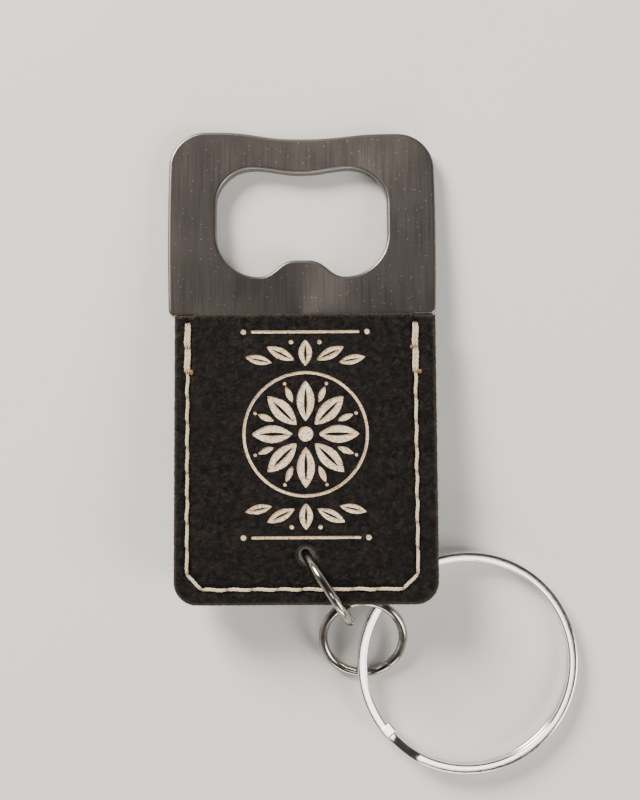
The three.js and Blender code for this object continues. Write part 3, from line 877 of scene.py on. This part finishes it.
def seam_line(spacing=0.05):
    """The seam from the left top round to the right top, as closely spaced points."""
    pen = Pen(SEAM_CORNERS[0], spacing)
    for corner in SEAM_CORNERS[1:]:
        pen.line(*corner)
    points = np.array(pen.points)
    kernel = np.ones(SEAM_SMOOTHING) / SEAM_SMOOTHING
    margin = SEAM_SMOOTHING // 2
    padded = np.pad(points, ((margin, margin), (0, 0)), mode="reflect", reflect_type="odd")
    return np.stack([np.convolve(padded[:, k], kernel, "valid") for k in (0, 1)], 1)


def needle_holes():
    """Holes at the seam's corners, and evenly spaced between them."""
    holes = [SEAM_CORNERS[0]]
    for (x0, y0), (x1, y1) in zip(SEAM_CORNERS, SEAM_CORNERS[1:]):
        count = max(1, round(math.hypot(x1 - x0, y1 - y0) / STITCH_PITCH))
        for k in range(1, count + 1):
            holes.append((x0 + (x1 - x0) * k / count, y0 + (y1 - y0) * k / count))
    return np.array(holes)


SEAM = seam_line()
NEEDLE_HOLES = needle_holes()


def seam_distance(points):
    coarse = SEAM[::SEAM_STRIDE]
    nearest = np.full(len(points), np.inf)
    for start in range(0, len(coarse), 64):
        gap = points[:, None] - coarse[None, start:start + 64]
        nearest = np.minimum(nearest, np.sqrt((gap**2).sum(2)).min(1))
    return nearest


def hole_distance(points):
    gap = points[:, None] - NEEDLE_HOLES[None]
    return np.sqrt((gap**2).sum(2)).min(1)


# ---- Leather panels ----

GROOVE_DEPTH = {1: 0.24, -1: 0.44}
GROOVE_REACH = 0.5
PIT_DEPTH = 0.35
PIT_REACH = 0.32
DIMPLE_DEPTH = 0.12
DIMPLE_REACH = 0.5
CREASE_DEPTH = 0.038
CREASE_WIDTH = 0.3
CREASE_WAVELENGTHS = (3, 4)
PANEL_EDGE_RADIUS = 0.24
FINE_REACH = 1.1
WORN_REACH = 0.55
WORN_HOLE_REACH = 0.4
BATCH = 4000


def ring_hole():
    return circle(0, RING_HOLE_Y, RING_HOLE_RADIUS, 40)


def leather_surface(seed, mirror):
    """Height of the leather: waves, creases, the seam's valley, needle pits, the ring hole's rim."""

    def surface(x, y):
        points = np.stack([x * mirror, y], 1)
        valley = GROOVE_DEPTH[mirror] * np.exp(-((seam_distance(points) / GROOVE_REACH) ** 2))
        pit = PIT_DEPTH * np.exp(-((hole_distance(points) / PIT_REACH) ** 2))
        rim = np.hypot(x, y - RING_HOLE_Y)
        dimple = DIMPLE_DEPTH * np.exp(-(((rim - RING_HOLE_RADIUS) / DIMPLE_REACH) ** 2))
        waves = 0.03 * ripple(x, y, 9, seed) + 0.02 * ripple(x, y, 1.7, seed + 1)
        creases = 0
        for wavelength in CREASE_WAVELENGTHS:
            level = ripple(x, y, wavelength, seed + wavelength)
            creases = creases + np.exp(-((level / CREASE_WIDTH) ** 2))
        return PANEL_THICKNESS - 0.01 + waves - CREASE_DEPTH * creases - valley - pit - dimple

    return surface


def leather_points(outer, mirror, seed, coarse, fine):
    """Mesh points: coarse all over, fine along the seam."""
    low, high = outer.min(0), outer.max(0)
    plain = scatter(low, high, coarse, seed)
    dense = scatter(low, high, fine, seed + 1)

    def near_seam(points):
        return seam_distance(points * (mirror, 1)) < FINE_REACH

    return np.concatenate([plain[~near_seam(plain)], dense[near_seam(dense)]])


def mark_edges(mesh, outer):
    """Writes how near each point is to the cut edge, which is worn."""
    co = np.zeros(len(mesh.vertices) * 3)
    mesh.vertices.foreach_get("co", co)
    co = co.reshape(-1, 3)
    value = np.zeros(len(co))
    for start in range(0, len(co), BATCH):
        part = co[start:start + BATCH, :2]
        gap = np.sqrt(((part[:, None] - outer[None]) ** 2).sum(2)).min(1)
        value[start:start + BATCH] = np.clip(1 - gap / WORN_REACH, 0, 1)
    rim = np.abs(np.hypot(co[:, 0], co[:, 1] - RING_HOLE_Y) - RING_HOLE_RADIUS)
    value = np.maximum(value, np.clip(1 - rim / WORN_HOLE_REACH, 0, 1))
    mesh.attributes.new("edge", "FLOAT", "POINT").data.foreach_set("value", value.astype(np.float32))


def leather_panel(name, node, outer, facing, engraved, coarse, fine):
    extra = leather_points(outer, facing, 40 + facing, coarse, fine)
    surface = leather_surface(60 + facing, facing)
    shell = sheet_mesh(outer, [ring_hole()], PANEL_EDGE_RADIUS, surface, engraved, extra,
                       roughness=0.035, depth=ORNAMENT_DEPTH)
    mesh = close(shell)
    mark_edges(mesh, outer)
    lift = Matrix.Translation((0, 0, facing * (PLATE_THICKNESS / 2 + PANEL_GAP)))
    place = SLEEVE_FRAME @ lift @ facing_turn(facing)
    make(name, mesh, place, "sewn_body", [LEATHER, ENGRAVED], [node], sharp=60)


def edge_fibres(name, facing, count, seed):
    """Loose leather fibres along the cut edge."""
    draw = random.Random(seed)
    outer = sleeve_outline(-PANEL_GAP)
    shell = Shell()
    base = PLATE_THICKNESS / 2 + PANEL_GAP
    for _ in range(count):
        i = draw.randrange(len(outer))
        point, after = outer[i], outer[(i + 1) % len(outer)]
        if point[1] > -1:
            continue
        tangent = (after - point) / np.linalg.norm(after - point)
        outward = np.array([tangent[1], -tangent[0], 0])
        start = np.array([*(point + tangent * draw.uniform(0, 0.3)), base + draw.uniform(0.15, 0.95)])
        start -= outward * 0.05
        lean = np.array([*tangent, 0]) * draw.uniform(-1, 1) + np.array([0, 0, draw.uniform(-0.6, 0.8)])
        length = draw.uniform(0.12, 0.38)
        t = np.linspace(0, 1, 4)[:, None]
        line = start + outward * t * length * 0.7 + lean * t**2 * length * 0.6
        width = draw.uniform(0.018, 0.035)
        outs = np.tile(np.array([*tangent, 0]), (4, 1))
        ups = np.tile(np.array([0, 0, 1.0]), (4, 1))
        sections = round_section(width, 4)[None] * (1 - 0.7 * t[:, :, None])
        shell.add(*sweep(sections, line, outs, ups))
    make(name, close(shell), SLEEVE_FRAME @ facing_turn(facing), "sewn_body", [FIBRE])


# ---- Thread ----

THREAD_RADIUS = 0.27
PLY_RADIUS = 0.128
PLY_COUNT = 3
PLY_TWIST = 2.1
PLY_SIDES = 8
STITCH_STATIONS = 38
STITCH_SINK = 0.42
STITCH_ARCH = 0.47
DOUBLED_STITCHES = 2
DOUBLED_OFFSET = 0.22
DOUBLED_LIFT = 0.04
BACK_LIFT = -0.22
SURFACE_Z = PLATE_THICKNESS / 2 + PANEL_GAP + PANEL_THICKNESS


def stitch(shell, ply_shade_and_hole_darkening, start, end, sideways, lift, seed):
    """One stitch between two needle holes: three plies twisted together."""
    draw = random.Random(seed)
    t = np.linspace(0, 1, STITCH_STATIONS)
    across = np.array([-(end - start)[1], (end - start)[0]])
    length = np.linalg.norm(across)
    across = across / length
    slant = draw.uniform(0.03, 0.09)
    sway = sideways + slant * np.sin(2 * math.pi * t)
    line = start + (end - start) * t[:, None] + across * sway[:, None]
    arch = 1 - np.abs(2 * t - 1) ** 7
    z = SURFACE_Z + lift - STITCH_SINK + STITCH_ARCH * arch + 0.015 * np.sin(3 * math.pi * t + seed)
    centre = np.column_stack([line, z])
    tangent = np.gradient(centre, axis=0)
    tangent /= np.linalg.norm(tangent, axis=1, keepdims=True)
    side = np.tile([*across, 0], (len(t), 1))
    up = np.cross(tangent, side)
    phase = draw.uniform(0, 2 * math.pi)
    for ply in range(PLY_COUNT):
        angle = phase + 2 * math.pi * (ply / PLY_COUNT + t * length / PLY_TWIST)
        offset = side * np.cos(angle)[:, None] + up * np.sin(angle)[:, None]
        path = centre + offset * (THREAD_RADIUS - PLY_RADIUS)
        taper = 1 - 0.35 * np.clip(1 - np.minimum(t, 1 - t) * length / 0.9, 0, 1) ** 2
        sections = round_section(PLY_RADIUS, PLY_SIDES)[None] * taper[:, None, None]
        verts, faces = sweep(sections, path, side, up)
        shell.add(verts, faces)
        reach = np.linalg.norm(verts[:-2] - np.repeat(centre, PLY_SIDES, axis=0), axis=1)
        # Painted shade in the valleys between the plies, and darker where the thread nears a needle
        # hole.
        valley = np.clip((THREAD_RADIUS * 0.84 - reach) / 0.08, 0, 1)
        near_hole = np.repeat(np.clip(1 - np.minimum(t, 1 - t) * length / 0.7, 0, 1), PLY_SIDES)
        ply_shade_and_hole_darkening += [*np.maximum(valley, near_hole), 1.0, 1.0]


def stitching(name, node, facing):
    """The seam's stitches, with the last ones at each end sewn twice."""
    shell = Shell()
    ply_shade_and_hole_darkening = []
    count = len(NEEDLE_HOLES) - 1
    for i, (start, end) in enumerate(zip(NEEDLE_HOLES, NEEDLE_HOLES[1:])):
        doubled = i < DOUBLED_STITCHES or i >= count - DOUBLED_STITCHES
        offsets = (-DOUBLED_OFFSET, DOUBLED_OFFSET) if doubled else (0.0,)
        for k, sideways in enumerate(offsets):
            lift = DOUBLED_LIFT * k if facing > 0 else BACK_LIFT
            stitch(shell, ply_shade_and_hole_darkening, start * (facing, 1), end * (facing, 1), sideways, lift, 10 * i + k)
    mesh = close(shell)
    # The painted ply shade and the darkening near the holes go to the mesh as a point attribute.
    values = np.array(ply_shade_and_hole_darkening, np.float32)
    mesh.attributes.new("ply_shade_and_hole_darkening", "FLOAT", "POINT").data.foreach_set("value", values)
    make(name, mesh, SLEEVE_FRAME @ facing_turn(facing), "sewn_body", [THREAD], [node])


def blob(shell, x, y, radii, seed):
    """A lump of melted thread."""
    work = bmesh.new()
    bmesh.ops.create_icosphere(work, subdivisions=3, radius=1)
    co = np.array([v.co for v in work.verts])
    swell = 1 + 0.16 * ripple(co[:, 0], co[:, 1] + co[:, 2], 1.3, seed)
    verts = co * swell[:, None] * radii + (x, y, SURFACE_Z + 0.03)
    faces = [[v.index for v in f.verts] for f in work.faces]
    work.free()
    shell.add(verts, faces)


def melted_ends(name, facing):
    """Thread ends melted flat beside the doubled stitches."""
    shell = Shell()
    left, middle, right = NEEDLE_HOLES[2], NEEDLE_HOLES[-2], NEEDLE_HOLES[-3]
    blob(shell, left[0] * facing + 0.6, left[1] + 0.1, (0.32, 0.4, 0.17), 3)
    blob(shell, middle[0] * facing - 0.55, middle[1], (0.28, 0.34, 0.16), 4)
    blob(shell, right[0] * facing + 0.62, right[1] + 0.1, (0.36, 0.32, 0.17), 5)
    make(name, close(shell), SLEEVE_FRAME @ facing_turn(facing), "sewn_body", [MELTED])


# ---- Filler board ----


def filler_board():
    """The layered board around the tongue, which shows between the panels' edges."""
    half = TONGUE_HALF_WIDTH + BOARD_GAP
    corner = half - TONGUE_CORNER_RADIUS
    corner_y = TONGUE_CORNER_RADIUS - TONGUE_LENGTH - BOARD_GAP
    side = SLEEVE_HALF_WIDTH - BOARD_INSET
    radius = SLEEVE_CORNER_RADIUS - BOARD_INSET
    bottom_y = BOARD_INSET - SLEEVE_LENGTH + radius
    pen = Pen((side, BOARD_TOP_Y), SLEEVE_SPACING)
    pen.line(half + PLATE_OFFSET_X, BOARD_TOP_Y)
    pen.arc(corner + PLATE_OFFSET_X, corner_y, TONGUE_CORNER_RADIUS, 0, -QUARTER)
    pen.arc(-corner + PLATE_OFFSET_X, corner_y, TONGUE_CORNER_RADIUS, -QUARTER, -2 * QUARTER)
    pen.line(-half + PLATE_OFFSET_X, BOARD_TOP_Y)
    pen.line(-side, BOARD_TOP_Y)
    pen.arc(radius - side, bottom_y, radius, 2 * QUARTER, 3 * QUARTER)
    pen.arc(side - radius, bottom_y, radius, 3 * QUARTER, 4 * QUARTER)
    pen.line(side, BOARD_TOP_Y)

    def surface(x, y):
        return PLATE_THICKNESS + 0 * x

    outer = loop_of(pen.points)
    shell = sheet_mesh(outer, [ring_hole()], BOARD_EDGE_RADIUS, surface, roughness=0.04)
    lift = Matrix.Translation((0, 0, -PLATE_THICKNESS / 2))
    make("filler_board", close(shell), SLEEVE_FRAME @ lift, "sewn_body", [BOARD],
         ["core_spacer"], sharp=50)


# ---- Rings ----

JUMP_RING_STATIONS = 220
JUMP_RING_SIDES = 28
JUMP_RING_END_RADIUS = 0.1
KEY_RING_STATIONS = 900
KEY_RING_END_RADIUS = 0.15
CRIMP_STATIONS = 14
CRIMP_CORNER = 0.3
CRIMP_END_RADIUS = 0.28


def coil(radius, start, sweep_angle, height_at, section, steps, corner):
    """Wire wound round the Z axis, its section upright and its cut ends rounded over."""
    turned = np.linspace(0, sweep_angle, steps)
    edge = np.linspace(0, corner / radius, 5)
    turned = np.unique(np.concatenate([turned, edge, sweep_angle - edge]))
    angle = start + turned
    outs = np.column_stack([np.cos(angle), np.sin(angle), np.zeros(len(angle))])
    heights = np.array([height_at(t) for t in turned])
    centres = outs * radius + np.column_stack([np.zeros((len(angle), 2)), heights])
    ups = np.tile([0, 0, 1.0], (len(angle), 1))
    sections = eased_ends(section, turned * radius, corner)
    shell = Shell()
    shell.add(*sweep(sections, centres, outs, ups))
    return shell


def jump_ring(cut_angle):
    radius = (RING_DIAMETER - RING_WIRE) / 2
    cut = RING_CUT / radius
    sweep_angle = 2 * math.pi - cut

    def lean(turned):
        near = max(0, 1 - min(turned, sweep_angle - turned) / RING_LEAN)
        side = -1 if turned < sweep_angle / 2 else 1
        return side * RING_STAGGER * near * near / 2

    section = round_section(RING_WIRE / 2, JUMP_RING_SIDES)
    start = cut_angle + cut / 2
    return coil(radius, start, sweep_angle, lean, section, JUMP_RING_STATIONS, JUMP_RING_END_RADIUS)


def strap_ring():
    centre = box_centre("strap_ring")
    outward = centre - HOLE
    outward = (outward - outward.dot(NORMAL) * NORMAL).normalized()
    axes = Matrix((outward, NORMAL, outward.cross(NORMAL))).transposed().to_4x4()
    make("strap_ring_wire", close(jump_ring(0)), Matrix.Translation(centre) @ axes, "strap_ring",
         [NICKEL], ["strap_ring"], sharp=50)


def link_ring():
    place = Matrix.Translation(box_centre("link_ring")) @ Matrix.Rotation(LINK_RING_TILT, 4, "X")
    make("link_ring_wire", close(jump_ring(LINK_RING_CUT_ANGLE)), place, "link_ring",
         [NICKEL], ["link_ring"], sharp=50)


def key_ring():
    """Two turns of flat wire with a ramp between them, and the crimped end on top."""
    radius = (KEY_DIAMETER - KEY_WIRE_WIDTH) / 2
    level = (KEY_WIRE_HEIGHT + KEY_TURN_GAP) / 2
    turn = 2 * math.pi - KEY_RAMP_SWEEP

    def height(turned):
        ramp = min(1, max(0, (turned + KEY_END_CLEARANCE - turn) / KEY_RAMP_SWEEP))
        return level * (2 * ramp * ramp * (3 - 2 * ramp) - 1)

    start = KEY_RAMP_START + KEY_RAMP_SWEEP + KEY_END_CLEARANCE
    sweep_angle = 4 * math.pi - KEY_RAMP_SWEEP - 2 * KEY_END_CLEARANCE
    section = flat_section(KEY_WIRE_WIDTH, KEY_WIRE_HEIGHT, KEY_WIRE_CORNER)
    shell = coil(radius, start, sweep_angle, height, section, KEY_RING_STATIONS, KEY_RING_END_RADIUS)
    span = CRIMP_LENGTH / radius
    crimp_level = level + (CRIMP_HEIGHT - KEY_WIRE_HEIGHT) / 2

    def crimp_height(turned):
        return crimp_level

    crimp_start = KEY_RAMP_START - KEY_END_CLEARANCE - span
    crimp_section = flat_section(CRIMP_WIDTH, CRIMP_HEIGHT, CRIMP_CORNER, 6)
    crimp = coil(radius - CRIMP_INSET, crimp_start, span, crimp_height, crimp_section,
                 CRIMP_STATIONS, CRIMP_END_RADIUS)
    shell.add(crimp.verts, crimp.faces)
    centre, axis = joint_place("key_ring_turn")
    place = Matrix.Translation(centre) @ UP.rotation_difference(axis).to_matrix().to_4x4()
    make("key_ring_wire", close(shell), place, "key_ring", [CHROME],
         ["key_ring"], sharp=50)


# ---- Camera, floor and lights ----

CAMERA_OFFSET_X = 2.25
CAMERA_Y = 8.282
CAMERA_HEIGHT = 210
CAMERA_ROLL = -0.006
FOCAL_IN_IMAGES = 1.640625
SENSOR_WIDTH = 36
CLIP_START = 0.01
CLIP_END = 20
FLOOR_HALF_SIZE = 3.0


def camera():
    data = bpy.data.cameras.new("camera")
    data.sensor_width = SENSOR_WIDTH
    data.lens = data.sensor_width * FOCAL_IN_IMAGES
    data.clip_start = CLIP_START
    data.clip_end = CLIP_END
    view = add_object("camera", data)
    view.location = Vector((ORIGIN.x + CAMERA_OFFSET_X, CAMERA_Y, CAMERA_HEIGHT)) * MM
    view.rotation_euler = (0, 0, CAMERA_ROLL)
    bpy.context.scene.camera = view


def floor():
    half = FLOOR_HALF_SIZE
    mesh = bpy.data.meshes.new("floor")
    corners = [(-half, -half, 0), (half, -half, 0), (half, half, 0), (-half, half, 0)]
    mesh.from_pydata(corners, [], [(0, 1, 2, 3)])
    recipe = Recipe("floor", Roughness=0.9, Specular_IOR_Level=0.15)
    recipe.finish((0.78, 0.765, 0.74, 1.0))
    mesh.materials.append(recipe.material)
    ground = add_object("floor", mesh)


def softbox(name, place, size, power, colour):
    """A rectangular area light, aimed at the object."""
    data = bpy.data.lights.new(name, "AREA")
    data.shape = "RECTANGLE"
    data.size, data.size_y = size
    data.energy = power
    data.color = colour
    light = add_object(name, data)
    light.location = place
    light.rotation_euler = (-Vector(place)).to_track_quat("-Z", "Y").to_euler()


def lights():
    """A sky that darkens overhead, which keeps flat metal and leather deep, and four soft lights."""
    world = bpy.data.worlds.new("studio")
    world.use_nodes = True
    tree = world.node_tree
    background = tree.nodes["Background"]
    direction = tree.nodes.new("ShaderNodeTexCoord")
    split = tree.nodes.new("ShaderNodeSeparateXYZ")
    ramp = tree.nodes.new("ShaderNodeMapRange")
    ramp.interpolation_type = "SMOOTHSTEP"
    bounds = {"From Min": 0.35, "From Max": 0.85, "To Min": 0.5, "To Max": 0.05}
    for socket, bound in bounds.items():
        ramp.inputs[socket].default_value = bound
    tree.links.new(direction.outputs["Generated"], split.inputs["Vector"])
    tree.links.new(split.outputs["Z"], ramp.inputs["Value"])
    tree.links.new(ramp.outputs["Result"], background.inputs["Strength"])
    background.inputs["Color"].default_value = (1.0, 0.975, 0.94, 1)
    bpy.context.scene.world = world
    softbox("key", (-0.42, 0.50, 0.42), (0.30, 0.30), 13.0, (1.0, 0.95, 0.89))
    softbox("fill", (0.60, -0.30, 0.45), (0.4, 0.4), 5.0, (1.0, 0.98, 0.95))
    softbox("front", (0.05, -0.75, 0.20), (0.5, 0.15), 3.0, (1.0, 0.96, 0.91))
    softbox("glint", (0.10, -0.20, 0.75), (0.24, 0.20), 0.8, (1.0, 0.98, 0.95))


# ---- Build ----

camera()
floor()
lights()
steel_plate()
filler_board()
front_outline = sleeve_outline(-PANEL_GAP, lip=True)
back_outline = sleeve_outline(-PANEL_GAP)
leather_panel("front_leather", "front_panel", front_outline, 1, ornament(), coarse=0.27, fine=0.2)
leather_panel("back_leather", "back_panel", back_outline, -1, (), coarse=0.34, fine=0.24)
edge_fibres("front_edge_fibres", 1, 420, 11)
edge_fibres("back_edge_fibres", -1, 260, 12)
stitching("front_thread", "front_stitching", 1)
stitching("back_thread", "back_stitching", -1)
melted_ends("front_melted_ends", 1)
melted_ends("back_melted_ends", -1)
strap_ring()
link_ring()
key_ring()
